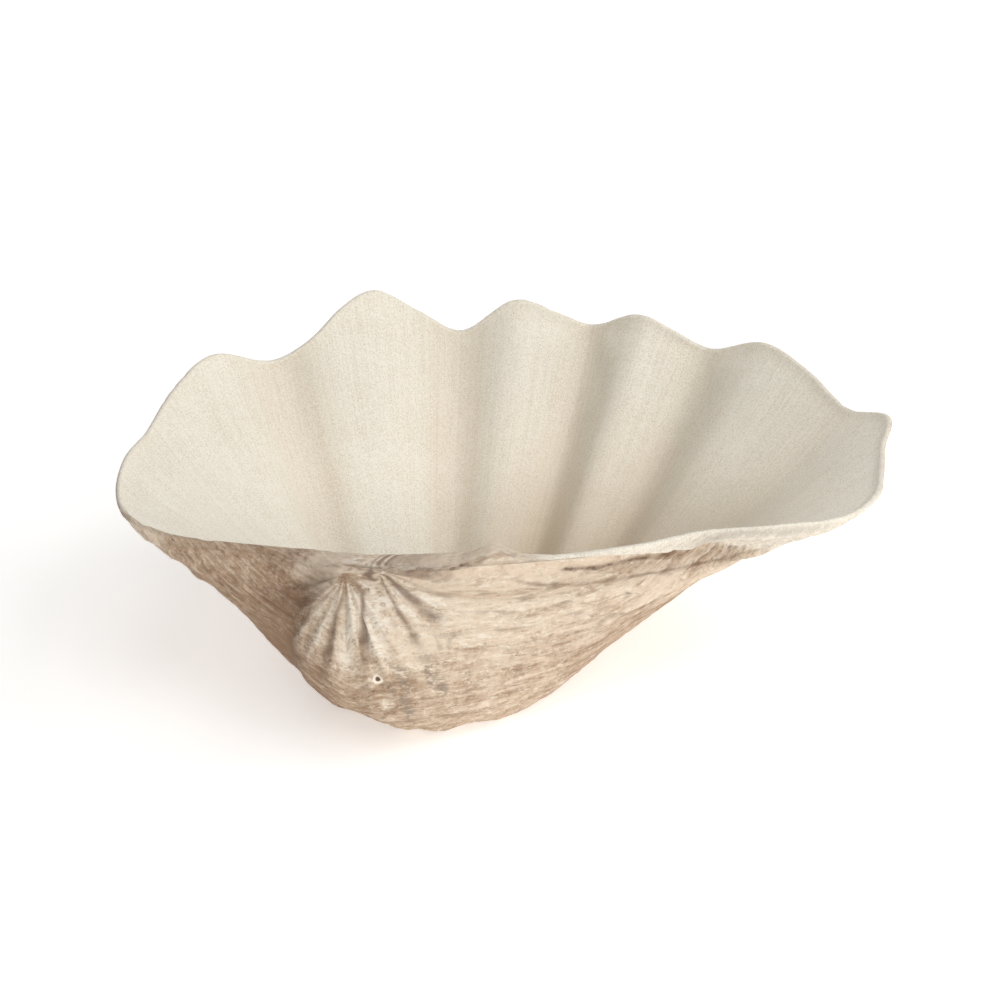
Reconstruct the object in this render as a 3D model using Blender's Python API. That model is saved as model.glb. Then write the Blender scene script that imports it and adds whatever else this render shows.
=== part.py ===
# One valve of a giant clam, hollow side up, resting on its worn back.
# The shell grew as one piece. Every earlier edge of the shell is a smaller copy of the
# present edge, rolled back about the hinge, so one growth law gives folds and growth lines.
# Lengths are in millimetres from the beak and become metres as the mesh is made.

import math

import bmesh
import bpy
import numpy as np

MM = 0.001

# Edge of the shell from the hinge round by the left end, measured from the beak:
# x to the right, y to the back, z up. Six crests stand at the back, with a trough between two.
EDGE = [
    (-1, 10, 1), (-32, 16, 2), (-69, 26, 4), (-105, 36, 5), (-132, 56, 7),
    (-143, 88, 10), (-142, 121, 17), (-132, 157, 20), (-119, 201, 31), (-98, 239, 38),
    (-61, 264, 24), (-36, 270, 37), (-13, 285, 56), (5, 295, 62), (35, 305, 43),
    (63, 310, 27), (101, 309, 50), (129, 312, 39), (152, 316, 29), (184, 291, 46),
    (207, 286, 36), (230, 280, 26), (264, 252, 41), (290, 226, 32), (313, 194, 19),
    (335, 165, 26), (329, 140, 18), (325, 112, 12), (318, 82, 10), (298, 59, 7),
    (256, 47, 6), (212, 41, 5), (172, 26, 3), (130, 15.5, 1.5), (98, 13, 1),
    (66, 10, 1), (30, 8, 1),
]
BEAK_HEIGHT = 114.0  # tip of the umbo above the surface that the shell rests on
BOWL_MIDDLE = (90.0, 150.0, 10.0)  # the wall thickens from the edge towards this point

# The hinge keeps its place while the rest of the shell rolls back
HINGE_HELD = (13.0, 42.0)  # distance from the hinge axis over which the roll sets in
HINGE_PULL = 0.9  # old hinge lines close in on the axis faster than they shorten

# Growth law of the outer face
OUTER_TURN = math.radians(165)  # how far the oldest shell is rolled back
OUTER_PACE = 0.58  # a larger pace rolls the shell later
OUTER_LEFT, OUTER_RIGHT = 0.76, 0.79  # width of the old shell beside its depth
LEAN = 14.0  # the umbo leans to the right as it goes down
WORN = 6.0  # depth over which the back runs into the flat that it is worn to

# Growth law of the hollow, which has its own older end inside the umbo
INNER_TURN = math.radians(112)
INNER_PACE = 0.74
INNER_LEFT, INNER_RIGHT = 0.78, 0.90
INNER_END = (48.0, 20.0, -6.0)

GROWN_WIDE = (0.30, 0.95)  # sizes over which the old shell widens to the present one
FOLDED_EDGE = (80.0, 170.0)  # distance behind the beak over which the edge becomes folded

EDGE_WALL = 4.0  # wall at the thin back edge
RIM_CROWN = 2.0  # height of the rounded edge
HINGE_WIDTH = 15.0  # extra width of the hinge plate
HINGE_DROP = 3.0  # the plate slopes into the hollow
HINGE_SPAN = (-80.0, -30.0, 70.0, 130.0)  # where the plate starts, is full, and ends
TOOTH_PLACE, TOOTH_HEIGHT, TOOTH_WIDTH = 86.0, 5.5, 11.0

LIP = 6.5  # roll of thick shell along the right front edge
LIP_SPAN = (110.0, 165.0, 270.0, 315.0)
LIP_REACH = (9.0, 24.0)  # the roll ends this far below the edge
SHELL_REACH = 300.0  # from the beak to the far edge

RECESS = 12.0  # hollow between the left wing and the umbo
RECESS_RUN = 38.0  # the wing comes out again over this width
UMBO_SIDE_HEIGHTS = (0, 25, 50, 75, 95, 112)
UMBO_SIDE = (-14, -27, -32, -29, -22, -9)  # the umbo's left outline at those heights

RIB_HEIGHT = 1.6  # ribs that fan out from the beak
RIBS_PER_TURN = 10.0
RIB_REACH = (4.0, 16.0, 38.0, 70.0)  # distance from the beak where ribs start and fade

LEDGE_HEIGHT = 1.6  # old edges left standing as ledges on the wings
LEDGE_STAGES = (0.10, 0.22, 0.36, 0.55)
LEDGE_RISE, LEDGE_FALL = 0.09, 0.02

COLUMNS = 128
OUTER_ROWS, RIM_ROWS, INNER_ROWS = 25, 3, 10
OLDEST_OUTER, OLDEST_INNER = 0.05, 0.10


def clear_scene():
    for old in list(bpy.data.objects):
        bpy.data.objects.remove(old, do_unlink=True)


def step(x, low, high):
    # A smooth step from 0 below low to 1 above high
    t = np.clip((x - low) / (high - low), 0.0, 1.0)
    return t * t * (3.0 - 2.0 * t)


def span(x, start, full, ending, end):
    # 1 between full and ending, and 0 outside start and end
    return step(x, start, full) * (1.0 - step(x, ending, end))


def closed_curve(points, count):
    # A smooth closed curve through the points, resampled at even distances
    points = np.array(points, float)
    size = len(points)
    fine = []
    for i in range(size):
        p0, p1, p2, p3 = points[i - 1], points[i], points[(i + 1) % size], points[(i + 2) % size]
        d0, d1, d2 = (math.sqrt(np.linalg.norm(b - a)) for a, b in ((p0, p1), (p1, p2), (p2, p3)))
        m1 = ((p1 - p0) / d0 - (p2 - p0) / (d0 + d1) + (p2 - p1) / d1) * d1
        m2 = ((p2 - p1) / d1 - (p3 - p1) / (d1 + d2) + (p3 - p2) / d2) * d1
        for u in np.arange(40) / 40:
            fine.append(
                (2 * u**3 - 3 * u**2 + 1) * p1 + (u**3 - 2 * u**2 + u) * m1
                + (3 * u**2 - 2 * u**3) * p2 + (u**3 - u**2) * m2
            )
    fine = np.array(fine)
    closed = np.vstack([fine, fine[:1]])
    run = np.concatenate([[0], np.cumsum(np.linalg.norm(np.diff(closed, axis=0), axis=1))])
    places = np.linspace(0, run[-1], count, endpoint=False)
    return np.stack([np.interp(places, run, closed[:, axis]) for axis in range(3)], -1)


def folds(edge, waves=5):
    # How far the folded back edge stands off the same edge smoothed to a few waves
    count = len(edge)
    spectrum = np.fft.fft(edge, axis=0)
    wave = np.abs(np.fft.fftfreq(count, 1 / count))
    spectrum *= np.exp(-((wave / waves) ** 4))[:, None]
    return (edge - np.fft.ifft(spectrum, axis=0).real) * step(edge[:, 1:2], *FOLDED_EDGE)


def outer_fold(size):
    # Strong folds at the edge and on the umbo, worn ones between
    return 0.35 + 0.65 * step(size, 0.40, 0.80) + 0.60 * (1 - step(size, 0.12, 0.30))


def inner_fold(size):
    return step(size, 0.10, 0.60)


def grown(edge, sizes, turn, pace, left, right, fold):
    # All earlier edges, one row for each size between 1 at the edge and 0 at the beak
    size = np.asarray(sizes)[:, None]
    free = step(np.hypot(edge[:, 1], edge[:, 2]), *HINGE_HELD)
    angle = turn * np.tanh(-np.log(size) / (pace * turn)) * free
    x, y, z = np.moveaxis(edge - (1 - fold(size))[..., None] * folds(edge), -1, 0)
    narrow = np.where(x < 0, left, right)
    wide = narrow + (1 - narrow) * step(size, *GROWN_WIDE)
    back = (y * np.cos(angle) + z * np.sin(angle)) * size ** (HINGE_PULL * (1 - free))
    up = z * np.cos(angle) - y * np.sin(angle)
    return np.stack([size * wide * x, size * back, size * up], -1)


def outward(grid):
    # Unit normals of a grid of points whose columns run round the shell
    along = np.roll(grid, -1, 1) - np.roll(grid, 1, 1)
    down = np.gradient(grid, axis=0)
    normal = np.cross(along, down)
    return normal / np.maximum(np.linalg.norm(normal, axis=-1, keepdims=True), 1e-9)


def recess(grid):
    # The left wing lies deeper than the umbo beside it
    x, y, z = np.moveaxis(grid, -1, 0)
    away = np.interp(z, UMBO_SIDE_HEIGHTS, UMBO_SIDE) - x
    near = step(-y, -60, -20) * span(z, 12, 40, 94, 110)
    return RECESS * step(away, -3, 5) * np.exp(-np.maximum(away, 0) / RECESS_RUN) * near


def ribs(grid):
    # Ribs fan out over the umbo from the beak and fade as they go down
    x, y, z = np.moveaxis(grid - np.array([0, 0, BEAK_HEIGHT]), -1, 0)
    wave = np.cos(np.arctan2(x, -z) * RIBS_PER_TURN + 0.6)
    return RIB_HEIGHT * wave * span(np.hypot(x, z), *RIB_REACH) * step(-y, -30, 0)


def ledges(sizes, edge):
    # Old edges left as ledges on both wings, steep on the side of the beak
    stage = -np.log(sizes)
    front = step(-edge[:, 1], -130, -60)
    height = np.zeros((len(sizes), len(edge)))
    for place in LEDGE_STAGES:
        fall = np.exp(-np.maximum(stage - place, 0) / LEDGE_FALL)
        height += LEDGE_HEIGHT * (fall * step(stage, place - LEDGE_RISE, place))[:, None] * front
    return height


def lip(sizes, edge):
    # A thick roll along the right front edge
    x, y = edge[:, 0], edge[:, 1]
    where = span(x, *LIP_SPAN) * (1 - step(y, 70, 130))
    below = SHELL_REACH * (1 - sizes)[:, None]
    return LIP * np.sqrt(np.clip(below / 5, 0, 1)) * (1 - step(below, *LIP_REACH)) * where


def tooth(edge):
    # One low tooth stands on the hinge to the right of the beak
    front = 1 - step(edge[:, 1], 25, 50)
    return TOOTH_HEIGHT * np.exp(-(((edge[:, 0] - TOOTH_PLACE) / TOOTH_WIDTH) ** 2)) * front


def worn_flat(z):
    # The back is worn flat where the shell rests
    soft = (z + WORN) ** 2 / (4 * WORN)
    return np.where(z <= -WORN, 0.0, np.where(z >= WORN, z, soft))


def outer_face(edge):
    start = np.linspace(0, 1, OUTER_ROWS)
    sizes = OLDEST_OUTER + (1 - OLDEST_OUTER) * (1 - start**1.25) ** 1.5
    grid = grown(edge, sizes, OUTER_TURN, OUTER_PACE, OUTER_LEFT, OUTER_RIGHT, outer_fold)
    grid[..., 2] += BEAK_HEIGHT + tooth(edge) * step(sizes, 0.90, 1.0)[:, None]
    low = np.clip(1 - grid[..., 2] / BEAK_HEIGHT, 0, 1)
    grid[..., 0] += LEAN * low**2
    grid[..., 1] += recess(grid)
    relief = ribs(grid) + ledges(sizes, edge) + lip(sizes, edge)
    off_hinge = np.hypot(grid[..., 1], grid[..., 2] - BEAK_HEIGHT)
    relief *= step(off_hinge, *HINGE_HELD)
    grid += relief[..., None] * outward(grid)
    grid[..., 2] = worn_flat(grid[..., 2])
    return grid


def inner_face(edge):
    inward = np.array(BOWL_MIDDLE) - edge
    inward /= np.linalg.norm(inward, axis=1, keepdims=True)
    hinge = span(edge[:, 0], *HINGE_SPAN) * step(-edge[:, 1], -75, -45)
    wall = EDGE_WALL + HINGE_WIDTH * hinge
    inner_edge = edge + inward * wall[:, None]
    inner_edge[:, 2] -= HINGE_DROP * hinge
    end = np.array(INNER_END)
    sizes = np.linspace(1, OLDEST_INNER, INNER_ROWS)
    law = (INNER_TURN, INNER_PACE, INNER_LEFT, INNER_RIGHT, inner_fold)
    grid = grown(inner_edge - end, sizes, *law) + end
    grid[..., 2] += BEAK_HEIGHT + tooth(edge) * step(sizes, 0.92, 1.0)[:, None]
    return grid


def rim(outer, inner):
    # A rounded edge between the first rows of the two faces
    middle = (outer[0] + inner[0]) / 2
    half = (outer[0] - inner[0]) / 2
    along = np.roll(middle, -1, 0) - np.roll(middle, 1, 0)
    upward = np.cross(along, half)
    upward /= np.linalg.norm(upward, axis=1, keepdims=True)
    crown = np.minimum(np.linalg.norm(half, axis=1), RIM_CROWN)[:, None]
    turns = np.linspace(0, math.pi, RIM_ROWS + 2)[1:-1]
    return np.array([middle + half * math.cos(t) + upward * crown * math.sin(t) for t in turns])


def shell_rows():
    # One grid from the beak over the outer face and the rim to the bottom of the hollow
    edge = closed_curve(EDGE, COLUMNS)
    outer = outer_face(edge)
    inner = inner_face(edge)
    beak = np.broadcast_to([0.0, 0.0, BEAK_HEIGHT], (1, COLUMNS, 3))
    bottom = np.broadcast_to(inner[-1].mean(axis=0), (1, COLUMNS, 3))
    return np.concatenate([beak, outer[::-1], rim(outer, inner), inner, bottom])


def centred(rows):
    # The origin is the middle of the base of the shell's box
    low, high = rows.min(axis=(0, 1)), rows.max(axis=(0, 1))
    return rows - [(low[0] + high[0]) / 2, (low[1] + high[1]) / 2, low[2]]


def shell_material():
    material = bpy.data.materials.new("aged_clam_shell")
    material.use_nodes = True
    surface = material.node_tree.nodes["Principled BSDF"]
    surface.inputs["Base Color"].default_value = (0.68, 0.57, 0.44, 1.0)
    surface.inputs["Roughness"].default_value = 0.75
    surface.inputs["Metallic"].default_value = 0.0
    return material


def make_shell(collection):
    # A sphere is drawn out into the shell: its south pole becomes the beak, its middle the
    # rim, and its north pole is pushed in to the bottom of the hollow.
    rows = centred(shell_rows())
    last = len(rows) - 1
    form = bmesh.new()
    bmesh.ops.create_uvsphere(form, u_segments=COLUMNS, v_segments=last, radius=1.0)
    for vertex in form.verts:
        x, y, z = vertex.co
        row = round(math.acos(max(-1.0, min(1.0, -z))) / math.pi * last)
        column = round(math.atan2(y, x) / (2 * math.pi) * COLUMNS) % COLUMNS
        vertex.co = rows[row, column] * MM
    bmesh.ops.triangulate(form, faces=form.faces)
    bmesh.ops.recalc_face_normals(form, faces=form.faces)
    mesh = bpy.data.meshes.new("clam_shell")
    form.to_mesh(mesh)
    form.free()
    mesh.shade_smooth()
    mesh.materials.append(shell_material())
    collection.objects.link(bpy.data.objects.new("clam_shell", mesh))


def main():
    clear_scene()
    collection = bpy.data.collections.new("giant_clam_shell")
    bpy.context.scene.collection.children.link(collection)
    make_shell(collection)


main()
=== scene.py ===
# A giant clam's valve, hollow side up, on a pale floor under soft light.
# The valve is grown by the law of its solid, on a grid fine enough for growth lines,
# ribs, cracks and scars. Lengths are in millimetres from the beak, the tip of the umbo.

import math
from functools import partial

import bpy
import numpy as np
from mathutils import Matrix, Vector, noise


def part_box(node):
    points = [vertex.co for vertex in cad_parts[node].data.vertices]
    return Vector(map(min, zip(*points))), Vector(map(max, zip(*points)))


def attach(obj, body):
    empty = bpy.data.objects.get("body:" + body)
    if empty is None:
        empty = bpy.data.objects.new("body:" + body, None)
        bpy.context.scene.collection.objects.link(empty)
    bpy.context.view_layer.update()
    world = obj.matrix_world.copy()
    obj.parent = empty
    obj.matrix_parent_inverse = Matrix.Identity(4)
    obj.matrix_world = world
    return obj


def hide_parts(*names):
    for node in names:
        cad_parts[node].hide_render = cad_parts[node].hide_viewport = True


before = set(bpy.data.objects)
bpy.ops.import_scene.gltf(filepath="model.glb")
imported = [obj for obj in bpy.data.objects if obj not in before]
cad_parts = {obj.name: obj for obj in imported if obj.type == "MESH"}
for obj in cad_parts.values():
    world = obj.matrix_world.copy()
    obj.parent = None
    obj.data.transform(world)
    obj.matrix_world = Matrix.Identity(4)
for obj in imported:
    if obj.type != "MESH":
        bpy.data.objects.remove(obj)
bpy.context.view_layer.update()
mm = 0.001

bpy.context.scene.view_settings.view_transform = "Standard"
print("frame loaded")


# Form of the shell

shell = {
    # the edge from the hinge round by the left end: x right, y back, z up
    "edge": [
        (-1, 10, 1), (-32, 16, 2), (-69, 26, 4), (-105, 36, 5), (-132, 56, 7),
        (-143, 88, 10), (-142, 121, 17), (-132, 157, 20), (-119, 201, 31), (-98, 239, 38),
        (-61, 264, 24), (-36, 270, 37), (-13, 285, 56), (5, 295, 62), (35, 305, 43),
        (63, 310, 27), (101, 309, 50), (129, 312, 39), (152, 316, 29), (184, 291, 46),
        (207, 286, 36), (230, 280, 26), (264, 252, 41), (290, 226, 32), (313, 194, 19),
        (335, 165, 26), (329, 140, 18), (325, 112, 12), (318, 82, 10), (298, 59, 7),
        (256, 47, 6), (212, 41, 5), (172, 26, 3), (130, 15.5, 1.5), (98, 13, 1),
        (66, 10, 1), (30, 8, 1),
    ],
    "beakHeight": 114,
    "bowlMiddle": (90, 150, 10),
    "hingeHeld": (13, 42),  # the roll sets in over this distance from the hinge axis
    "hingePull": 0.9,
    # each face's growth: how far it rolls (degrees) and how soon, how narrow the earlier
    # edges are at the left and right, the oldest edge's size, and that where the tooth starts
    "outer": {"turn": 165, "pace": 0.58, "left": 0.76, "right": 0.79, "oldest": 0.05, "tooth": 0.90},
    "inner": {"turn": 112, "pace": 0.74, "left": 0.78, "right": 0.90, "oldest": 0.10, "tooth": 0.92},
    "innerEnd": (48, 20, -6),
    "grownWide": (0.30, 0.95),
    "foldedEdge": (80, 170),
    # share of the folds that earlier edges have: least, sizes over which it sets in, and the
    # extra share of the oldest edges
    "outerFolds": (0.35, (0.40, 0.80), 0.60, (0.12, 0.30)),
    "innerFolds": (0.10, 0.60),
    "lean": 14,  # the umbo leans to the right as it goes down
    "worn": 6,  # depth over which the back runs into its worn flat
    "reach": 300,  # from the beak to the far edge
    "edgeWall": 4,
    "rimCrown": 2,
    "hingeWidth": 15,
    "hingeDrop": 3,
    "hingeSpan": (-80, -30, 70, 130),
    "hingeFront": (-75, -45),
    "tooth": (86, 5.5, 11),  # place, height and width
    "toothFront": (25, 50),  # it fades out between these places back
    # the rounded lip at the right front: height, place along x and back, and depth
    "lip": 6.5,
    "lipSpan": (110, 165, 270, 315),
    "lipFront": (70, 130),
    "lipReach": (9, 24),
    "lipRound": 5,
    # the recess left of the umbo: depth, how it fades, and the umbo's left side by height
    "recess": 12,
    "recessRun": 38,
    "recessFront": (-60, -20),
    "recessHeights": (12, 40, 94, 110),
    "recessEdge": (-3, 5),
    "umboHeights": (0, 25, 50, 75, 95, 112),
    "umboSide": (-14, -27, -32, -29, -22, -9),
    # ledges of growth: stages at which they stand, how they rise and fall, and where
    "ledgeStages": (0.10, 0.22, 0.36, 0.55),
    "ledgeHeight": 1.6,
    "ledgeRise": 0.09,
    "ledgeFall": 0.02,
    "ledgeWarp": (60, 0.012),
    "ledgeFront": (-130, -60),
    # the grid: columns round the shell, closer together at the front, and rows
    "fineEdge": 2048,
    "columns": 512,
    "frontCrowding": 2.0,
    "crowdedFront": (70, 150),
    "outerRows": 143,
    "rowSpread": (1.12, 1.15),  # rows stand closer together at the edge and at the beak
    "rimRows": 5,
    "innerRows": 45,
}


def smoothStep(x, low, high):
    t = np.clip((x - low) / (high - low), 0.0, 1.0)
    return t * t * (3.0 - 2.0 * t)


def between(x, start, full, ending, end):
    return smoothStep(x, start, full) * (1.0 - smoothStep(x, ending, end))


def closedCurve(points, count, steps=40):
    # a smooth closed curve through the points, resampled at even distances
    points = np.array(points, float)
    size = len(points)
    fine = []
    for i in range(size):
        p0, p1, p2, p3 = points[i - 1], points[i], points[(i + 1) % size], points[(i + 2) % size]
        d0, d1, d2 = (math.sqrt(np.linalg.norm(b - a)) for a, b in ((p0, p1), (p1, p2), (p2, p3)))
        m1 = ((p1 - p0) / d0 - (p2 - p0) / (d0 + d1) + (p2 - p1) / d1) * d1
        m2 = ((p2 - p1) / d1 - (p3 - p1) / (d1 + d2) + (p3 - p2) / d2) * d1
        for u in np.arange(steps) / steps:
            fine.append(
                (2 * u**3 - 3 * u**2 + 1) * p1 + (u**3 - 2 * u**2 + u) * m1
                + (3 * u**2 - 2 * u**3) * p2 + (u**3 - u**2) * m2
            )
    fine = np.array(fine)
    closed = np.vstack([fine, fine[:1]])
    run = np.concatenate([[0], np.cumsum(np.linalg.norm(np.diff(closed, axis=0), axis=1))])
    places = np.linspace(0, run[-1], count, endpoint=False)
    return np.stack([np.interp(places, run, closed[:, axis]) for axis in range(3)], -1), run[-1]


def foldsOf(edge, waves=5):
    # how far the folded back edge stands off the same edge smoothed to a few waves
    count = len(edge)
    spectrum = np.fft.fft(edge, axis=0)
    wave = np.abs(np.fft.fftfreq(count, 1 / count))
    spectrum *= np.exp(-((wave / waves) ** 4))[:, None]
    smooth = np.fft.ifft(spectrum, axis=0).real
    return (edge - smooth) * smoothStep(edge[:, 1:2], *shell["foldedEdge"])


def crowded(values, places):
    # values at even distances round the edge, read at other places
    count = len(values)
    closed = np.vstack([values, values[:1]])
    return np.stack([np.interp(places, np.arange(count + 1) / count, c) for c in closed.T], -1)


def edgeColumns():
    # the edge and its folds at columns that stand closer together along the front
    even, length = closedCurve(shell["edge"], shell["fineEdge"])
    weight = 1 + shell["frontCrowding"] * (1 - smoothStep(even[:, 1], *shell["crowdedFront"]))
    share = np.concatenate([[0], np.cumsum(weight)]) / weight.sum()
    columns = np.arange(shell["columns"]) / shell["columns"]
    places = np.interp(columns, share, np.arange(len(share)) / (len(share) - 1))
    return crowded(even, places), crowded(foldsOf(even), places), places, length


def grow(edge, folds, sizes, law, foldShare):
    # all earlier edges, one row for each size between 1 at the edge and 0 at the beak
    size = sizes[:, None]
    turn = math.radians(law["turn"])
    free = smoothStep(np.hypot(edge[:, 1], edge[:, 2]), *shell["hingeHeld"])
    angle = turn * np.tanh(-np.log(size) / (law["pace"] * turn)) * free
    x, y, z = np.moveaxis(edge - (1 - foldShare[:, None, None]) * folds, -1, 0)
    narrow = np.where(x < 0, law["left"], law["right"])
    wide = narrow + (1 - narrow) * smoothStep(size, *shell["grownWide"])
    back = (y * np.cos(angle) + z * np.sin(angle)) * size ** (shell["hingePull"] * (1 - free))
    up = z * np.cos(angle) - y * np.sin(angle)
    return np.stack([size * wide * x, size * back, size * up], -1)


def outward(grid):
    along = np.roll(grid, -1, 1) - np.roll(grid, 1, 1)
    down = np.gradient(grid, axis=0)
    normal = np.cross(along, down)
    return normal / np.maximum(np.linalg.norm(normal, axis=-1, keepdims=True), 1e-9)


def toothHeight(edge):
    place, height, width = shell["tooth"]
    front = 1 - smoothStep(edge[:, 1], *shell["toothFront"])
    return height * np.exp(-(((edge[:, 0] - place) / width) ** 2)) * front


def recessDepth(grid):
    x, y, z = np.moveaxis(grid, -1, 0)
    away = np.interp(z, shell["umboHeights"], shell["umboSide"]) - x
    near = smoothStep(-y, *shell["recessFront"]) * between(z, *shell["recessHeights"])
    run = np.exp(-np.maximum(away, 0) / shell["recessRun"])
    return shell["recess"] * smoothStep(away, *shell["recessEdge"]) * run * near


def noiseAt(points, scale, octaves=1, offset=0.0):
    # smooth noise between about -1 and 1, with details down to scale halved per octave
    flat = points.reshape(-1, points.shape[-1]) / scale + offset
    values = [noise.fractal(Vector(p), 1.0, 2.0, octaves) for p in flat]
    return np.array(values).reshape(points.shape[:-1])


# Fine relief of the outer face

outerRelief = {
    # ribs of the umbo, as seen from the front and above: direction from straight down
    # (degrees), height and half width, from a point beside the beak
    "ribs": [
        (-50, 1.5, 3), (-39, 2.0, 4), (-26, 2.2, 5), (-7, 2.4, 6.5), (11, 2.3, 6),
        (22, 1.6, 4), (38, 2.1, 5), (60, 2.2, 5), (74, 1.6, 4),
    ],
    "grooves": [(-16, 0.7, 3), (1.5, 1.3, 2.2), (30, 0.7, 3), (49, 0.8, 3.5)],
    "fanPoint": 2.7,
    # the ribs at the right start further right: directions and how far
    "fanStarts": ((-16, 0, 21, 38, 60), (0, 7, 15.6, 17, 21)),
    "fanTilt": 25,
    "flatness": 0.25,  # share of the depth that counts in the distance from a mark
    "ribBase": 1.1,  # the ribs stand on a face that is as much lower
    "ribReach": (2, 12, 40, 76),
    "ribFront": (-30, 0),
    "ribWobble": (1.2, 14),  # degrees, and the width of the waves in mm
    # steps along the front, spacing away from the hinge line and height, and those of the
    # folded back, measured down from the edge
    "frontSteps": [(11, 1.3), (5.5, 0.8), (3.1, 0.4)],
    "backSteps": [(12.5, 0.75), (6.5, 0.35)],
    # a line over the hinge from the left end to the right end, from which the steps of the
    # front are measured, and how much closer they stand at its ends
    "hingeLine": [(-146, 112, 26), (0, 45, 24), (140, 72, 22), (336, 182, 38)],
    "closing": 0.72,
    # shape of a step, rise and fall as shares of the spacing, and its waves and breaks
    "stepShape": (0.0, 0.8, 0.86, 1.0),
    "stepWarp": (4.5, 0.7),  # width and swing of the waves, in spacings
    "stepBreaks": (40, 0.6, 0.8, 0.1, 1.4),  # width, mean, swing, least and most strength
    "backWarp": (1, 1, 0.5),
    "grain": (0.5, 9),  # height and width of the face's roughness
    "frontEnd": (75, 125),  # here the relief of the front goes over into that of the back
    "umboReach": (25, 70),
    "umboCalm": 0.6,  # the steps are as much lower on the umbo
    "edgeFade": 3,
}

outerMarks = {
    # cracks and seams of the front: half width, depth, and points from the beak
    "cracks": [
        (1.2, 1.8, [(126, 21, -8), (148, 27, -10), (166, 31, -7), (185, 35, -6), (192, 36, -3)]),
        (0.9, 1.1, [(100, 15, -13), (115, 18, -17), (135, 22, -18), (147, 24, -18), (172, 29, -16),
                    (187, 33, -15), (201, 37, -14), (224, 40, -10), (250, 47, -6)]),
        (1.0, 0.9, [(101, 8, -22), (109, 12, -21)]),
        (1.0, 1.0, [(148, 40, -56), (149, 38, -51), (157, 40, -48), (171, 53, -52), (187, 58, -45)]),
        (1.1, 1.5, [(41, 6, 0), (57, 6, -1), (70, 8, 1), (79, 11, 3), (90, 13, 6), (98, 14, 4)]),
        (0.9, 0.8, [(-5, 11, 1), (14, 5, 1), (43, 3, -1), (52, 5, -2)]),
        (0.7, 0.5, [(26, -27, -52), (31, -25, -66), (37, -17, -82)]),
        (0.7, 0.5, [(46, -20, -51), (52, -18, -62), (57, -15, -70)]),
        (0.7, 0.4, [(51, -14, -30), (57, -14, -29), (61, -15, -40), (55, -15, -42), (51, -14, -30)]),
    ],
    "pits": [(2.4, 2.0, (165, 31, -29)), (1.7, 1.3, (109, 13, -49)), (1.5, 0.9, (136, 20, -24))],
    "barnacle": (2.7, 1.0, 0.4, (19, -26, -55)),  # radius, half width and height of its ring
    "wobble": (1.1, 5),  # how far the marks' borders wander, and the width of the waves
    "breaks": (12, 0.95, 0.6, 0.45, 1.1),  # width, mean, swing, least and most of the cracks
    # dirt between the ribs and wear on them: most, and the heights over which it sets in
    "ribDirt": (0.6, 0.1, 1.5),
    "ribWear": (0.9, 0.3, 1.2),
    # white worn patches and grey stains: radius and points
    "worn": [
        (7.5, [(14, -18, -13), (16, -26, -24), (18, -29, -31)]), (4, [(24, -20, -21)]),
        (3.5, [(24, -19, -77)]), (3, [(57, -11, -26)]), (1.6, [(20, -14, -8), (40, -15, -19)]),
        (1.8, [(30, -8, -7), (58, -7, -17)]), (0.9, [(-11, 13, 2), (12, 9, 1), (41, 5, 1), (55, 5, 1)]),
    ],
    "stains": [
        (5, [(52, -11, -21)]), (4.5, [(31, -26, -51), (36, -23, -64)]),
        (5, [(48, -20, -53), (55, -16, -67)]), (4, [(34, -24, -71), (37, -16, -84)]),
    ],
}

edgeChips = {
    # along the edge: where it starts and ends to the right of the beak, and the chips' depth
    "spans": [(270, 330, 0.9), (-150, -60, 0.7), (-60, 236, 0.35)],
    "ending": 20,  # the chips fade over this length at both ends
    "width": 7,
    "bites": (-0.1, 0.55),
    "reach": 5,  # below the edge
}

swelling = {"height": 8, "radius": 42, "place": (112, 42, -94)}  # of the right side, low down

outerTone = {
    # how pale the outer face is, from brown 0 to cream 1, at places right of the beak
    "places": (-140, -60, -20, 0, 40, 90, 180),
    "tones": (0.36, 0.24, 0.30, 0.56, 0.70, 0.80, 0.64),
    "low": 0.26,
    "lowSpan": (35, 65),
    # painted shade: the tone is this much darker in the recess left of the umbo
    "recess": 0.42,
    # patches that are paler or browner: radius, change and place; the browner two at 192 and 214 right
    # of the beak are painted shadow under the ledge of the lip
    "patches": [(14, 0.42, (-16, 6, -2)), (15, 0.30, (-120, 48, 0)), (13, 0.12, (42, -22, -38)),
                (15, -0.14, (214, 38, -10)), (8, -0.25, (192, 34, -6)), (16, 0.16, (-4, -18, -24)),
                (13, -0.14, (32, -25, -62))],
    "patchBorder": (0.5, 1.5),
    # the rim is weathered at the front left, up to these places back and right
    "rimBack": (45, 75),
    "rimRight": (95, 125),
    "rimShade": (0.25, (-60, 60)),
}

lipFinish = {
    # the smooth lip: place along x, where it gets deeper and by how much, depth and share
    "span": (105, 125, 310, 340),
    "deeper": (185, 300),
    "deepening": 60,
    "reach": (5, 22),
    "share": 0.65,
}

hollowDustAndShade = {
    # warm dust and painted shade of the hollow: dust with painted shade in the troughs, and painted
    # shade low down at the right
    "troughDepth": (-4, 12),
    "troughSizes": (0.12, 0.45),
    "lowSizes": (0.45, 0.95),
    "right": (30, 140),
    "shares": (0.25, 0.9),  # of the troughs and of the low part
}


def frontShare(y):
    return 1 - smoothStep(y, *outerRelief["frontEnd"])


def seenFromFront(points):
    # right, down and depth, as seen from the front and above
    x, y, z = np.moveaxis(points, -1, 0)
    tilt = math.radians(outerRelief["fanTilt"])
    return x, -(z * math.cos(tilt) + y * math.sin(tilt)), y * math.cos(tilt) - z * math.sin(tilt)


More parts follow.
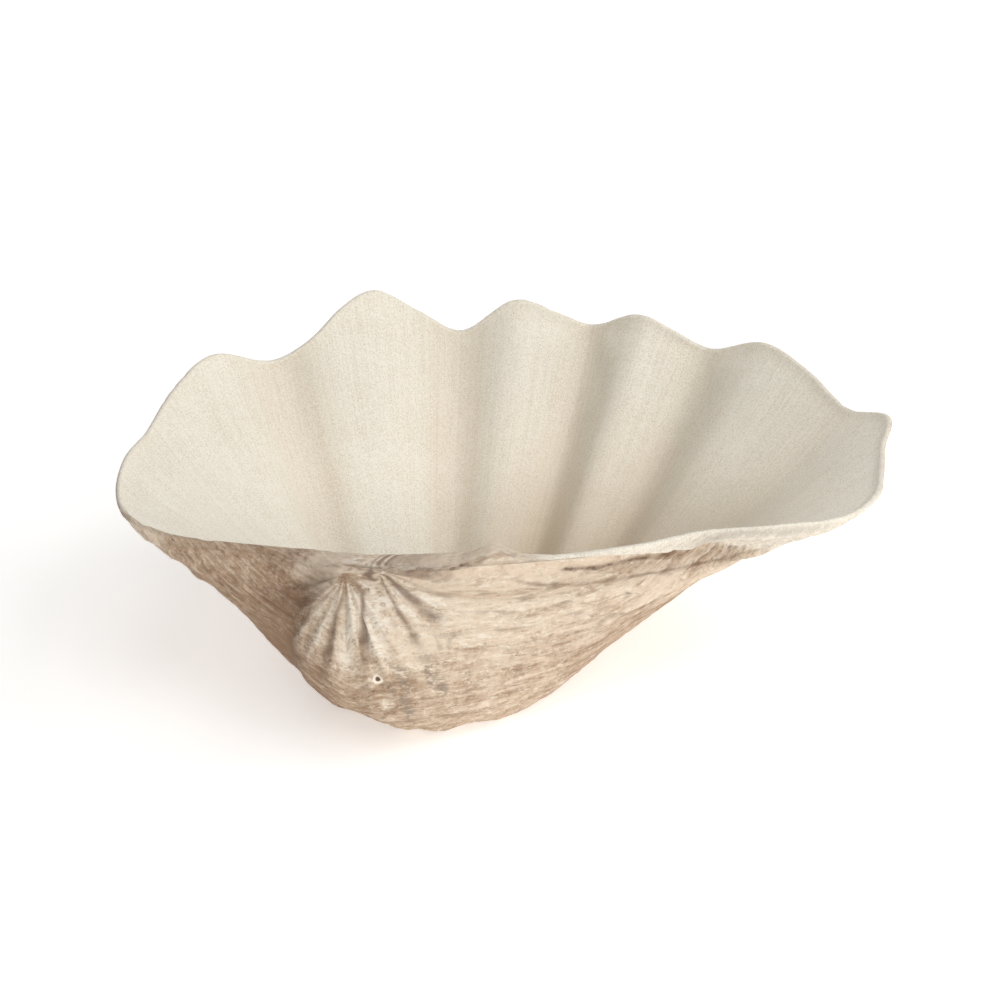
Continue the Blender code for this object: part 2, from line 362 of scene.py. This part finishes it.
def ribHeight(grid):
    # ribs and grooves that fan out from the beak
    fanPoint = np.array([outerRelief["fanPoint"], 0, shell["beakHeight"]])
    x, down = seenFromFront(grid - fanPoint)[:2]
    fan = np.degrees(np.arctan2(x, down))
    for _ in range(8):  # each turn brings the direction closer to that from the rib's own start
        start = np.interp(fan, *outerRelief["fanStarts"])
        fan = (fan + np.degrees(np.arctan2(x - start, down))) / 2
    degrees, waves = outerRelief["ribWobble"]
    fan = fan + degrees * noiseAt(grid, waves, 2, 5)
    height = -outerRelief["ribBase"]
    for sign, name in ((1, "ribs"), (-1, "grooves")):
        for place, tall, width in outerRelief[name]:
            height = height + sign * tall * np.exp(-(((fan - place) / width) ** 2))
    reach = between(np.hypot(x, down), *outerRelief["ribReach"])
    return height * reach * smoothStep(-grid[..., 1], *outerRelief["ribFront"])


def awayFrom(points, path):
    # distance of each point from the line through the path
    corners = np.array(path, float)
    if len(corners) == 1:
        return np.linalg.norm(points - corners[0], axis=-1)
    away = np.inf
    for start, end in zip(corners[:-1], corners[1:]):
        run = end - start
        share = np.clip((points - start) @ run / (run @ run), 0, 1)[..., None]
        away = np.minimum(away, np.linalg.norm(points - start - share * run, axis=-1))
    return away


def flattened(points):
    right, down, depth = seenFromFront(np.array(points, float))
    return np.stack([right, down, outerRelief["flatness"] * depth], -1)


def marksAt(points):
    # height, dirt, wear and grey that the marks give at points from the beak
    seen = flattened(points)
    swing, waves = outerMarks["wobble"]
    wobble = swing * noiseAt(points, waves, 3, 3)
    waves, mean, swing, least, most = outerMarks["breaks"]
    broken = np.clip(mean + swing * noiseAt(points, waves, 2, 11), least, most)
    height, dirt, wear, grey = (np.zeros(points.shape[:-1]) for _ in range(4))
    for halfWidth, depth, path in outerMarks["cracks"]:
        away = awayFrom(seen, flattened(path)) + wobble
        height -= depth * broken * np.exp(-((away / halfWidth) ** 2))
        filled = min(1, 0.35 + 0.3 * depth) * broken  # deeper cracks hold more dirt
        dirt = np.maximum(dirt, filled * np.exp(-((away / (1.1 * halfWidth)) ** 2)))
    for radius, depth, place in outerMarks["pits"]:
        away = awayFrom(seen, flattened([place])) + wobble
        height -= depth * (1 - smoothStep(away, 0.3 * radius, 1.2 * radius))
        dirt = np.maximum(dirt, 0.8 - 0.8 * smoothStep(away, 0.3 * radius, 1.2 * radius))
    radius, halfWidth, tall, place = outerMarks["barnacle"]
    away = awayFrom(seen, flattened([place]))
    height += tall * np.exp(-(((away - radius) / halfWidth) ** 2))
    for radius, path in outerMarks["worn"]:
        away = awayFrom(seen, flattened(path)) + 2 * wobble
        wear = np.maximum(wear, 1 - smoothStep(away, 0.5 * radius, 1.3 * radius))
    for radius, path in outerMarks["stains"]:
        away = awayFrom(seen, flattened(path)) + 2 * wobble
        grey = np.maximum(grey, 1 - smoothStep(away, 0.3 * radius, 1.3 * radius))
    return height, dirt, wear, grey


def toneAt(points, shadedRecess):
    x, y, z = np.moveaxis(points, -1, 0)
    # painted shade: darker in the recess left of the umbo
    tone = np.interp(x, outerTone["places"], outerTone["tones"]) - outerTone["recess"] * shadedRecess
    tone -= outerTone["low"] * smoothStep(-z, *outerTone["lowSpan"])
    inner, outer = outerTone["patchBorder"]
    for radius, change, place in outerTone["patches"]:
        tone += change * (1 - smoothStep(awayFrom(points, [place]), inner * radius, outer * radius))
    return tone


def chipDepth(edge, ring):
    # how far small chips lower the edge
    ending = edgeChips["ending"]
    depth = sum(deep * between(edge[:, 0], start, start + ending, end - ending, end)
                for start, end, deep in edgeChips["spans"])
    bites = noiseAt(np.column_stack([ring, 0 * edge[:, 0]]), edgeChips["width"], 3, 21)
    return depth * smoothStep(bites, *edgeChips["bites"])


def ledgeHeight(sizes, edge, warp):
    stage = -np.log(sizes)[:, None] + warp * shell["ledgeWarp"][1]
    front = smoothStep(-edge[:, 1], *shell["ledgeFront"])
    height = 0
    for place in shell["ledgeStages"]:
        fall = np.exp(-np.maximum(stage - place, 0) / shell["ledgeFall"])
        rise = smoothStep(stage, place - shell["ledgeRise"], place)
        height = height + shell["ledgeHeight"] * fall * rise
    return height * front


def lipHeight(sizes, edge):
    x, y = edge[:, 0], edge[:, 1]
    where = between(x, *shell["lipSpan"]) * (1 - smoothStep(y, *shell["lipFront"]))
    below = shell["reach"] * (1 - sizes)[:, None]
    rise = np.sqrt(np.clip(below / shell["lipRound"], 0, 1))
    return shell["lip"] * rise * (1 - smoothStep(below, *shell["lipReach"])) * where


def fromHingeLine(points):
    # distance from the hinge line, stretched towards its ends so that lines run together
    x, line = points[..., 0], outerRelief["hingeLine"]
    share = np.where(x < 0, x / line[0][0], (x / line[-1][0]) ** 2)
    return awayFrom(points, line) / (1 - outerRelief["closing"] * np.clip(share, 0, 1))


def stepHeight(depth, place, steps):
    # steps with their steep side towards the beak, warped and broken along the edge
    waves, swing = outerRelief["stepWarp"]
    width, mean, change, least, most = outerRelief["stepBreaks"]
    height = 0
    for spacing, tall in steps:
        warp = noiseAt(place, waves * spacing, 2, spacing)
        saw = ((depth + swing * spacing * warp) / spacing) % 1.0
        shape = between(saw, *outerRelief["stepShape"]) - 0.5
        strength = mean + change * noiseAt(place, width, 2, 7 + spacing)
        height = height + tall * shape * np.clip(strength, least, most)
    return height


def outerFace(edge, folds, ring):
    law = shell["outer"]
    start = np.linspace(0, 1, shell["outerRows"])
    slow, fast = shell["rowSpread"]
    sizes = law["oldest"] + (1 - law["oldest"]) * (1 - start**slow) ** fast
    least, grown, oldest, young = shell["outerFolds"]
    share = least + (1 - least) * smoothStep(sizes, *grown) + oldest * (1 - smoothStep(sizes, *young))
    grid = grow(edge, folds, sizes, law, share)
    raised = toothHeight(edge) * smoothStep(sizes, law["tooth"], 1.0)[:, None]
    grid[..., 2] += shell["beakHeight"] + raised
    low = np.clip(1 - grid[..., 2] / shell["beakHeight"], 0, 1)
    grid[..., 0] += shell["lean"] * low**2
    grid[..., 1] += recessDepth(grid)
    below = shell["reach"] * (1 - sizes)[:, None] + 0 * grid[..., 0]

    # broad forms: ledges, the lip and the swelling
    beak = np.array([0, 0, shell["beakHeight"]])
    ringed = np.concatenate([ring + 0 * grid[..., :2], below[..., None]], -1)
    warp = noiseAt(ringed, shell["ledgeWarp"][0], 2)
    fromHinge = np.hypot(grid[..., 1], grid[..., 2] - shell["beakHeight"])
    offHinge = smoothStep(fromHinge, *shell["hingeHeld"])
    normals = outward(grid)
    # how deep the recess is, for its painted shade
    shadedRecess = recessDepth(grid) / shell["recess"]
    swollen = awayFrom(grid - beak, [swelling["place"]]) / swelling["radius"]
    broad = ledgeHeight(sizes, edge, warp) + lipHeight(sizes, edge)
    broad += swelling["height"] * np.exp(-(swollen**2))
    grid += (broad * offHinge)[..., None] * normals

    # fine relief: steps of growth, ribs, grain and marks
    points = grid - beak
    cut = marksAt(points)[0]
    fromBeak = np.hypot(grid[..., 0], grid[..., 2] - shell["beakHeight"])
    umbo = 1 - smoothStep(fromBeak, *outerRelief["umboReach"])
    front = frontShare(points[..., 1])
    ahead = stepHeight(fromHingeLine(points), points, outerRelief["frontSteps"])
    behind = stepHeight(below, ringed * np.array(outerRelief["backWarp"]), outerRelief["backSteps"])
    ribs = ribHeight(grid)
    fine = (behind + (ahead - behind) * front) * (1 - outerRelief["umboCalm"] * umbo) + ribs
    tall, width = outerRelief["grain"]
    fine += tall * noiseAt(grid, width, 4)
    edgeFade = smoothStep(below, 0, outerRelief["edgeFade"])
    grid += ((fine * offHinge + cut) * edgeFade)[..., None] * normals

    # the back runs into the flat that it is worn to
    worn = shell["worn"]
    z = grid[..., 2]
    soft = (z + worn) ** 2 / (4 * worn)
    grid[..., 2] = np.where(z <= -worn, 0.0, np.where(z >= worn, z, soft))

    lower = lipFinish["deepening"] * smoothStep(points[..., 0], *lipFinish["deeper"])
    smooth = 1 - smoothStep(below - lower, *lipFinish["reach"])
    lip = smooth * between(points[..., 0], *lipFinish["span"]) * front
    tone = toneAt(points, shadedRecess)
    return grid, below, {"relief": fine, "ribs": ribs, "umbo": umbo, "tone": tone, "lip": lip}


def innerFace(edge, folds):
    law = shell["inner"]
    inward = np.array(shell["bowlMiddle"]) - edge
    inward /= np.linalg.norm(inward, axis=1, keepdims=True)
    hinge = between(edge[:, 0], *shell["hingeSpan"]) * smoothStep(-edge[:, 1], *shell["hingeFront"])
    wall = shell["edgeWall"] + shell["hingeWidth"] * hinge
    innerEdge = edge + inward * wall[:, None]
    innerEdge[:, 2] -= shell["hingeDrop"] * hinge
    end = np.array(shell["innerEnd"])
    sizes = np.linspace(1, law["oldest"], shell["innerRows"])
    grid = grow(innerEdge - end, folds, sizes, law, smoothStep(sizes, *shell["innerFolds"])) + end
    raised = toothHeight(edge) * smoothStep(sizes, law["tooth"], 1.0)[:, None]
    grid[..., 2] += shell["beakHeight"] + raised
    # a warm tint: dust with painted shade in the troughs, and painted shade low down at the right
    trough = smoothStep(-folds[:, 2], *hollowDustAndShade["troughDepth"])
    trough = trough * smoothStep(sizes, *hollowDustAndShade["troughSizes"])[:, None]
    low = (1 - smoothStep(sizes, *hollowDustAndShade["lowSizes"]))[:, None]
    low = low * smoothStep(edge[:, 0], *hollowDustAndShade["right"])
    ofTrough, ofLow = hollowDustAndShade["shares"]
    return grid, sizes, np.clip(ofTrough * trough + ofLow * low, 0, 1)


def rimRows(outer, inner):
    middle = (outer[0] + inner[0]) / 2
    half = (outer[0] - inner[0]) / 2
    along = np.roll(middle, -1, 0) - np.roll(middle, 1, 0)
    upward = np.cross(along, half)
    upward /= np.linalg.norm(upward, axis=1, keepdims=True)
    crown = np.minimum(np.linalg.norm(half, axis=1), shell["rimCrown"])[:, None]
    turns = np.linspace(0, math.pi, shell["rimRows"] + 2)[1:-1]
    return np.array([middle + half * math.cos(t) + upward * crown * math.sin(t) for t in turns])


def growShell():
    # rows from the beak over the outer face and the rim to the bottom of the hollow
    edge, folds, places, length = edgeColumns()
    turns = places * 2 * math.pi
    ring = np.stack([np.cos(turns), np.sin(turns)], -1) * length / (2 * math.pi)
    outer, below, paint = outerFace(edge, folds, ring)
    inner, innerSizes, trough = innerFace(edge, folds)
    rim = rimRows(outer, inner)
    count = shell["columns"]
    beak = np.broadcast_to([0.0, 0.0, shell["beakHeight"]], (1, count, 3))
    bottom = np.broadcast_to(inner[-1].mean(axis=0), (1, count, 3))
    rows = np.concatenate([beak, outer[::-1], rim, inner, bottom])
    low, high = rows.min(axis=(0, 1)), rows.max(axis=(0, 1))
    boxLow, boxHigh = (np.array(corner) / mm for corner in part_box("clam_shell"))
    shift = (boxLow + boxHigh) / 2 - (low + high) / 2
    shift[2] = 0

    # how far each row lies below the edge, less than nothing inside, and chips of the edge
    reach, rimCount = shell["reach"], shell["rimRows"]
    depth = [[reach], below[::-1, 0], np.zeros(rimCount), -reach * (1 - innerSizes), [-reach]]
    depth = np.concatenate(depth)
    nearEdge = 1 - smoothStep(np.abs(depth), 0, edgeChips["reach"])
    rows[..., 2] -= nearEdge[:, None] * chipDepth(edge, ring)

    # what the finish reads at each point
    outerPlace = slice(1, 1 + len(outer))
    rimPlace = slice(1 + len(outer), 1 + len(outer) + rimCount)
    attributes = {}
    for name, values in paint.items():
        attributes[name] = np.zeros(rows.shape[:2])
        attributes[name][outerPlace] = values[::-1]
        attributes[name][rimPlace] = values[0]
    points = rows - np.array([0, 0, shell["beakHeight"]])
    dirt, wear, grey = marksAt(points)[1:]
    ribs = attributes.pop("ribs")
    most, least, full = outerMarks["ribDirt"]
    attributes["dirt"] = np.maximum(dirt, most * smoothStep(-ribs, least, full))
    most, least, full = outerMarks["ribWear"]
    attributes["wear"] = np.maximum(wear, most * smoothStep(ribs, least, full))
    attributes["grey"] = grey
    attributes["front"] = frontShare(points[..., 1])
    attributes["away"] = fromHingeLine(points) * mm
    # the hollow's warm tint of dust and painted shade
    attributes["trough"] = np.zeros(rows.shape[:2])
    attributes["trough"][-1 - len(inner):-1] = trough

    # the finish of the outside ends on the rim, which is weathered itself at the front left
    outside = np.zeros(rows.shape[:2])
    outside[:outerPlace.stop] = 1
    rimShare = np.linspace(1, 0, rimCount + 2)[1:-1, None] ** 3
    weathered = 1 - smoothStep(edge[:, 1], *outerTone["rimBack"])
    weathered = weathered * (1 - smoothStep(edge[:, 0], *outerTone["rimRight"]))
    outside[rimPlace] = rimShare + (1 - rimShare) * weathered
    shade, span = outerTone["rimShade"]
    attributes["tone"][rimPlace] -= shade * (1 - weathered) * (1 - smoothStep(edge[:, 0], *span))
    attributes["outside"] = outside * (1 - lipFinish["share"] * attributes.pop("lip"))
    growth = [ring + 0 * rows[..., :2], depth[:, None, None] + 0 * rows[..., :1]]
    attributes["growth"] = np.concatenate(growth, -1) * mm
    return rows + shift, attributes, shift


def makeShell():
    # a sphere is drawn out into the shell: its south pole becomes the beak, its middle
    # the rim, and its north pole is pushed in to the bottom of the hollow
    rows, attributes, shift = growShell()
    last = len(rows) - 1
    columns = shell["columns"]
    bpy.ops.object.select_all(action="DESELECT")
    bpy.ops.mesh.primitive_uv_sphere_add(segments=columns, ring_count=last, radius=1)
    piece = bpy.context.object
    piece.name = "clam_shell_surface"
    mesh = piece.data
    place = np.zeros(len(mesh.vertices) * 3)
    mesh.vertices.foreach_get("co", place)
    x, y, z = place.reshape(-1, 3).T
    row = np.rint(np.arccos(np.clip(-z, -1, 1)) / math.pi * last).astype(int)
    column = np.rint(np.arctan2(y, x) / (2 * math.pi) * columns).astype(int) % columns
    mesh.vertices.foreach_set("co", (rows[row, column] * mm).ravel())
    for name, values in attributes.items():
        kind, field = ("FLOAT_VECTOR", "vector") if values.ndim == 3 else ("FLOAT", "value")
        attribute = mesh.attributes.new(name, kind, "POINT")
        attribute.data.foreach_set(field, values[row, column].astype(np.float32).ravel())
    mesh.update()
    bpy.ops.object.mode_set(mode="EDIT")
    bpy.ops.mesh.select_all(action="SELECT")
    bpy.ops.mesh.normals_make_consistent(inside=False)
    bpy.ops.object.mode_set(mode="OBJECT")
    bpy.ops.object.shade_smooth()
    return piece, shift


clamShell, beakShift = makeShell()
print("shell grown:", len(clamShell.data.vertices), "points")


# Finish of the shell

def linear(hexColour):
    # sRGB hex to the linear colour that a shader takes
    channels = [int(hexColour[i:i + 2], 16) / 255 for i in (1, 3, 5)]
    return [c / 12.92 if c <= 0.04045 else ((c + 0.055) / 1.055) ** 2.4 for c in channels] + [1.0]


def addNode(tree, kind, inputs=None, stops=None, out=0, **settings):
    # adds a node with its settings, values and links, and gives the output that is used
    node = tree.nodes.new("ShaderNode" + kind)
    for name, value in settings.items():
        setattr(node, name, value)
    for name, value in (inputs or {}).items():
        if isinstance(value, bpy.types.NodeSocket):
            tree.links.new(value, node.inputs[name])
        else:
            node.inputs[name].default_value = value
    for index, (position, hexColour) in enumerate(stops or []):
        ramp = node.color_ramp.elements
        stop = ramp[index] if index < len(ramp) else ramp.new(position)
        stop.position = position
        stop.color = linear(hexColour)
    return node.outputs[out]


shellFinish = {
    "insideLight": "#fcf7eb",
    "insideDark": "#e4dac6",
    # warm colour of dust and painted shade in the hollow
    "trough": "#d3b998",
    "brown": "#9c7d62",
    "tan": "#c3a88e",
    "pale": "#e3cfb7",
    "cream": "#eedbc4",
    "chalk": "#fbf0df",
    "groove": "#755743",
    "stain": "#8f8478",
    "insideStops": [(0.53, "insideDark"), (0.83, "insideLight")],
    "outsideStops": [(0.0, "brown"), (0.36, "tan"), (0.68, "pale"), (0.96, "cream")],
    "waviness": 0.7,  # how far the lines of the front wander
    # patterns: what they follow, their width along each axis in mm, detail, roughness
    "noises": [
        ("streaks", "growth", (1.6, 1.6, 70), 3.0, 0.5),
        ("clouds", "place", (26, 26, 26), 3.0, 0.5),
        ("grain", "place", (0.9, 0.9, 0.9), 2.0, 0.5),
        ("mottle", "place", (16, 16, 16), 6.0, 0.65),
        ("backLines", "growth", (34, 34, 1.6), 5.0, 0.65),
        ("frontLines", "away", (15, 15, 1.7), 6.0, 0.7),
        ("bands", "away", (50, 50, 7), 3.0, 0.6),
        ("crags", "place", (3.2, 3.2, 3.2), 6.0, 0.75),
        ("flakes", "away", (6, 6, 2.0), 6.0, 0.72),
    ],
    # weights of the patterns in the coat of the hollow and in the tone of the outside
    "coat": {"clouds": 0.15, "streaks": 0.3, "grain": 1.0},
    "tone": {"lines": 2.1, "bands": 0.9, "mottle": 0.7},
    "toneShift": 1.84,
    "craggy": (0.4, 0.42),  # share of crags in the lines: what the umbo adds, and elsewhere
    # strength of the hollow's tint of dust and painted shade
    "dustAndShadeShare": 0.75,
    "flakesOfBrown": 0.35,  # the brownest parts keep this share of the chalk flakes
    "linedTone": 1.25,  # lines hold no dirt where the tone is this pale
    "dirt": 0.65,  # strength of the soft dirt round a crack
    "ragged": 1.9,  # weight of the crags in the sharp dirt within it
    # where each layer sets in and how strong it gets, along the value that it follows
    "flaked": {"From Min": 0.52, "From Max": 0.63, "To Max": 0.7},
    "tops": {"From Min": 0.45, "From Max": 1.5, "To Max": 0.5},
    "brokenTops": {"From Min": 0.36, "From Max": 0.56},
    "lined": {"From Min": 0.45, "From Max": 0.31, "To Max": 0.9},
    "hollows": {"From Min": -0.2, "From Max": -1.6, "To Max": 0.7},
    "raggedDirt": {"From Min": 1.55, "From Max": 1.9, "To Max": 0.85},
    "stained": {"From Min": 0.56, "From Max": 0.44, "To Max": 0.7},
    # the barnacle's ring and its middle, as shares of its radius
    "ringEdge": (1.45, 1.2),
    "ringMiddle": (0.75, 0.6),
    "rough": (1.6, 2.0),  # weight of the lines in the bump of the outside, and of the whole
    "bump": {"Strength": 0.7, "Distance": 0.0008},
    "surface": {"Roughness": 0.78, "Specular IOR Level": 0.3, "IOR": 1.53},
}


def agedShell():
    # aragonite shell, grown in layers: matt and brushed inside, chalky, stained and lined
    # outside, because its growth lines catch dirt and its ribs are worn
    material = bpy.data.materials.new("weathered_aragonite_shell")
    material.use_nodes = True
    tree = material.node_tree
    surface = tree.nodes["Principled BSDF"]
    finish = shellFinish
    add = partial(addNode, tree)
    colours = {name: linear(value) for name, value in finish.items() if isinstance(value, str)}
    insideStops, outsideStops = (
        [(position, finish[name]) for position, name in finish[stops]]
        for stops in ("insideStops", "outsideStops")
    )
    names = ("relief", "umbo", "dirt", "wear", "grey", "tone", "front", "away", "trough", "outside")
    paint = {name: add("Attribute", out="Fac", attribute_name=name) for name in names}
    place = add("TexCoord", out="Object")
    across, upward = (add("SeparateXYZ", {0: place}, out=axis) for axis in "XZ")
    follows = {
        "place": place,
        "growth": add("Attribute", out="Vector", attribute_name="growth"),
        "away": add("CombineXYZ", {0: across, 1: upward, 2: paint["away"]}),
    }
    noises = {}
    for name, followed, widths, detail, roughness in finish["noises"]:
        scale = [1 / (width * mm) for width in widths]
        spread = add("VectorMath", {0: follows[followed], 1: scale}, operation="MULTIPLY")
        inputs = {"Vector": spread, "Scale": 1.0, "Detail": detail, "Roughness": roughness}
        inputs["Distortion"] = finish["waviness"] if followed == "away" else 0.0
        noises[name] = add("TexNoise", inputs)
    # lines of growth, broken by crags, most of all on the umbo
    lines = {0: paint["front"], 2: noises["backLines"], 3: noises["frontLines"]}
    lines = add("Mix", lines, data_type="FLOAT")
    ofUmbo, everywhere = finish["craggy"]
    craggy = add("Math", {0: paint["umbo"], 1: ofUmbo, 2: everywhere}, operation="MULTIPLY_ADD")
    noises["lines"] = add("Mix", {0: craggy, 2: lines, 3: noises["crags"]}, data_type="FLOAT")

    # streaks of the hollow run from the edge to the bottom, under clouds and a fine grain
    coat = 0.0
    for name, weight in finish["coat"].items():
        coat = add("Math", {0: noises[name], 1: weight, 2: coat}, operation="MULTIPLY_ADD")
    inside = add("ValToRGB", {0: coat}, insideStops)
    # dust and painted shade tint the troughs and the low right of the hollow warmer
    dustAndShadeShare = add("Math", {0: paint["trough"], 1: finish["dustAndShadeShare"]}, operation="MULTIPLY")
    inside = add("Mix", {0: dustAndShadeShare, 6: inside, 7: colours["trough"]}, out=2, data_type="RGBA")

    # the outside goes from brown at the left to cream at the right, mottled and lined
    tone = paint["tone"]
    for name, weight in finish["tone"].items():
        tone = add("Math", {0: noises[name], 1: weight, 2: tone}, operation="MULTIPLY_ADD")
    tone = add("Math", {0: tone, 1: finish["toneShift"]}, operation="SUBTRACT")
    outside = add("ValToRGB", {0: tone}, outsideStops)

    # chalk shows in flakes, on the tops of the ribs and where it is worn
    flaked = add("MapRange", {"Value": noises["flakes"], **finish["flaked"]})
    paler = add("Math", {0: paint["tone"], 1: finish["flakesOfBrown"]}, operation="ADD")
    flaked = add("Math", {0: flaked, 1: paler}, operation="MULTIPLY")
    tops = add("MapRange", {"Value": paint["relief"], **finish["tops"]})
    tops = add("Math", {0: tops, 1: paint["wear"]}, operation="MAXIMUM")
    broken = add("MapRange", {"Value": noises["flakes"], **finish["brokenTops"]})
    tops = add("Math", {0: tops, 1: broken}, operation="MULTIPLY")

    # dirt lies in the hollows, the cracks and the lines of the browner parts
    lined = add("MapRange", {"Value": noises["lines"], **finish["lined"]})
    browner = add("Math", {0: finish["linedTone"], 1: paint["tone"]}, operation="SUBTRACT")
    lined = add("Math", {0: lined, 1: browner}, operation="MULTIPLY")
    hollows = add("MapRange", {"Value": paint["relief"], **finish["hollows"]})
    cracks = add("Math", {0: paint["dirt"], 1: finish["dirt"]}, operation="MULTIPLY")
    ragged = {0: noises["crags"], 1: finish["ragged"], 2: paint["dirt"]}
    ragged = add("Math", ragged, operation="MULTIPLY_ADD")
    ragged = add("MapRange", {"Value": ragged, **finish["raggedDirt"]})
    soiled = hollows
    for dirt in (lined, cracks, ragged):
        soiled = add("Math", {0: soiled, 1: dirt}, operation="MAXIMUM")
    stained = add("MapRange", {"Value": noises["flakes"], **finish["stained"]})
    stained = add("Math", {0: paint["grey"], 1: stained}, operation="MULTIPLY")

    # the barnacle's ring: pale, with a dark middle
    radius, ringPlace = outerMarks["barnacle"][0] * mm, outerMarks["barnacle"][3]
    ringPlace = [c * mm for c in np.array(ringPlace) + beakShift + [0, 0, shell["beakHeight"]]]
    away = add("VectorMath", {0: place, 1: ringPlace}, out="Value", operation="DISTANCE")
    ringEdge, ringMiddle = (
        add("MapRange", {"Value": away, "From Min": ends[0] * radius, "From Max": ends[1] * radius})
        for ends in (finish["ringEdge"], finish["ringMiddle"])
    )

    # the layers of the outside from the lowest to the topmost, then the whole shell
    layers = [(flaked, "chalk"), (tops, "chalk"), (soiled, "groove"), (stained, "stain"),
              (ringEdge, "chalk"), (ringMiddle, "groove")]
    for share, name in layers:
        outside = add("Mix", {0: share, 6: outside, 7: colours[name]}, out=2, data_type="RGBA")
    whole = add("Mix", {0: paint["outside"], 6: inside, 7: outside}, out=2, data_type="RGBA")
    tree.links.new(whole, surface.inputs["Base Color"])

    # the same patterns roughen the face
    ofLines, ofAll = finish["rough"]
    rough = add("Math", {0: noises["lines"], 1: ofLines, 2: noises["flakes"]}, operation="MULTIPLY_ADD")
    rough = add("Math", {0: rough, 1: ofAll}, operation="MULTIPLY")
    height = add("Mix", {0: paint["outside"], 2: coat, 3: rough}, data_type="FLOAT")
    bump = add("Bump", {**finish["bump"], "Height": height})
    tree.links.new(bump, surface.inputs["Normal"])
    for name, value in finish["surface"].items():
        surface.inputs[name].default_value = value
    return material


clamShell.data.materials.append(agedShell())
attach(clamShell, "root")
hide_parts("clam_shell")
print("shell finished")


# Floor, light and camera

studio = {
    "floorColour": "#fbfaf8",
    "floorGlow": 0.36,  # keeps the paper white under the shell
    "floorSize": 16,
    "floorFinish": {"Roughness": 0.9, "Specular IOR Level": 0.1},
    "skyStrength": 0.063,
    # softboxes round the shell: direction (0 right, 90 behind), height angle and watts
    "softboxes": [
        (-90, 25, 12.4), (-90, 55, 4.8), (-45, 25, 9.1), (-45, 55, 5.5), (0, 25, 7.8),
        (0, 55, 6.0), (45, 25, 4.3), (90, 25, 7.2), (135, 25, 12.1), (0, 90, 2.8),
    ],
    "boxSize": 0.9,
    "boxDistance": 2.2,
    "lightAim": (0, 0, 0.05),
    "distance": 1.75,
    "elevation": 25,
    "lens": 101.65,
    "aimFromBeak": (89.6, 123.9, -11.2),
}


def makeFloor():
    bpy.ops.mesh.primitive_plane_add(size=studio["floorSize"], location=(0, 0, 0))
    floor = bpy.context.object
    floor.name = "floor"
    material = bpy.data.materials.new("pale_matt_paper")
    material.use_nodes = True
    surface = material.node_tree.nodes["Principled BSDF"]
    surface.inputs["Base Color"].default_value = linear(studio["floorColour"])
    for name, value in studio["floorFinish"].items():
        surface.inputs[name].default_value = value
    surface.inputs["Emission Color"].default_value = (1, 1, 1, 1)
    surface.inputs["Emission Strength"].default_value = studio["floorGlow"]
    floor.data.materials.append(material)


def aimAt(item, target):
    item.rotation_euler = (Vector(target) - item.location).to_track_quat("-Z", "Y").to_euler()


def makeLight():
    world = bpy.data.worlds.new("soft_studio")
    world.use_nodes = True
    background = world.node_tree.nodes["Background"]
    background.inputs["Color"].default_value = (1, 1, 1, 1)
    background.inputs["Strength"].default_value = studio["skyStrength"]
    bpy.context.scene.world = world
    for direction, height, watts in studio["softboxes"]:
        turn, rise = math.radians(direction), math.radians(height)
        way = Vector((math.cos(turn) * math.cos(rise), math.sin(turn) * math.cos(rise), math.sin(rise)))
        bpy.ops.object.light_add(type="AREA", location=way * studio["boxDistance"])
        softbox = bpy.context.object
        softbox.data.energy = watts
        softbox.data.size = studio["boxSize"]
        aimAt(softbox, studio["lightAim"])


def makeCamera():
    aim = Vector(np.array(studio["aimFromBeak"]) + beakShift + [0, 0, shell["beakHeight"]]) * mm
    tilt = math.radians(studio["elevation"])
    place = aim + Vector((0, -math.cos(tilt), math.sin(tilt))) * studio["distance"]
    bpy.ops.object.camera_add(location=place, rotation=(math.pi / 2 - tilt, 0, 0))
    camera = bpy.context.object
    camera.data.lens = studio["lens"]
    bpy.context.scene.camera = camera


makeFloor()
makeLight()
makeCamera()
print("studio set")
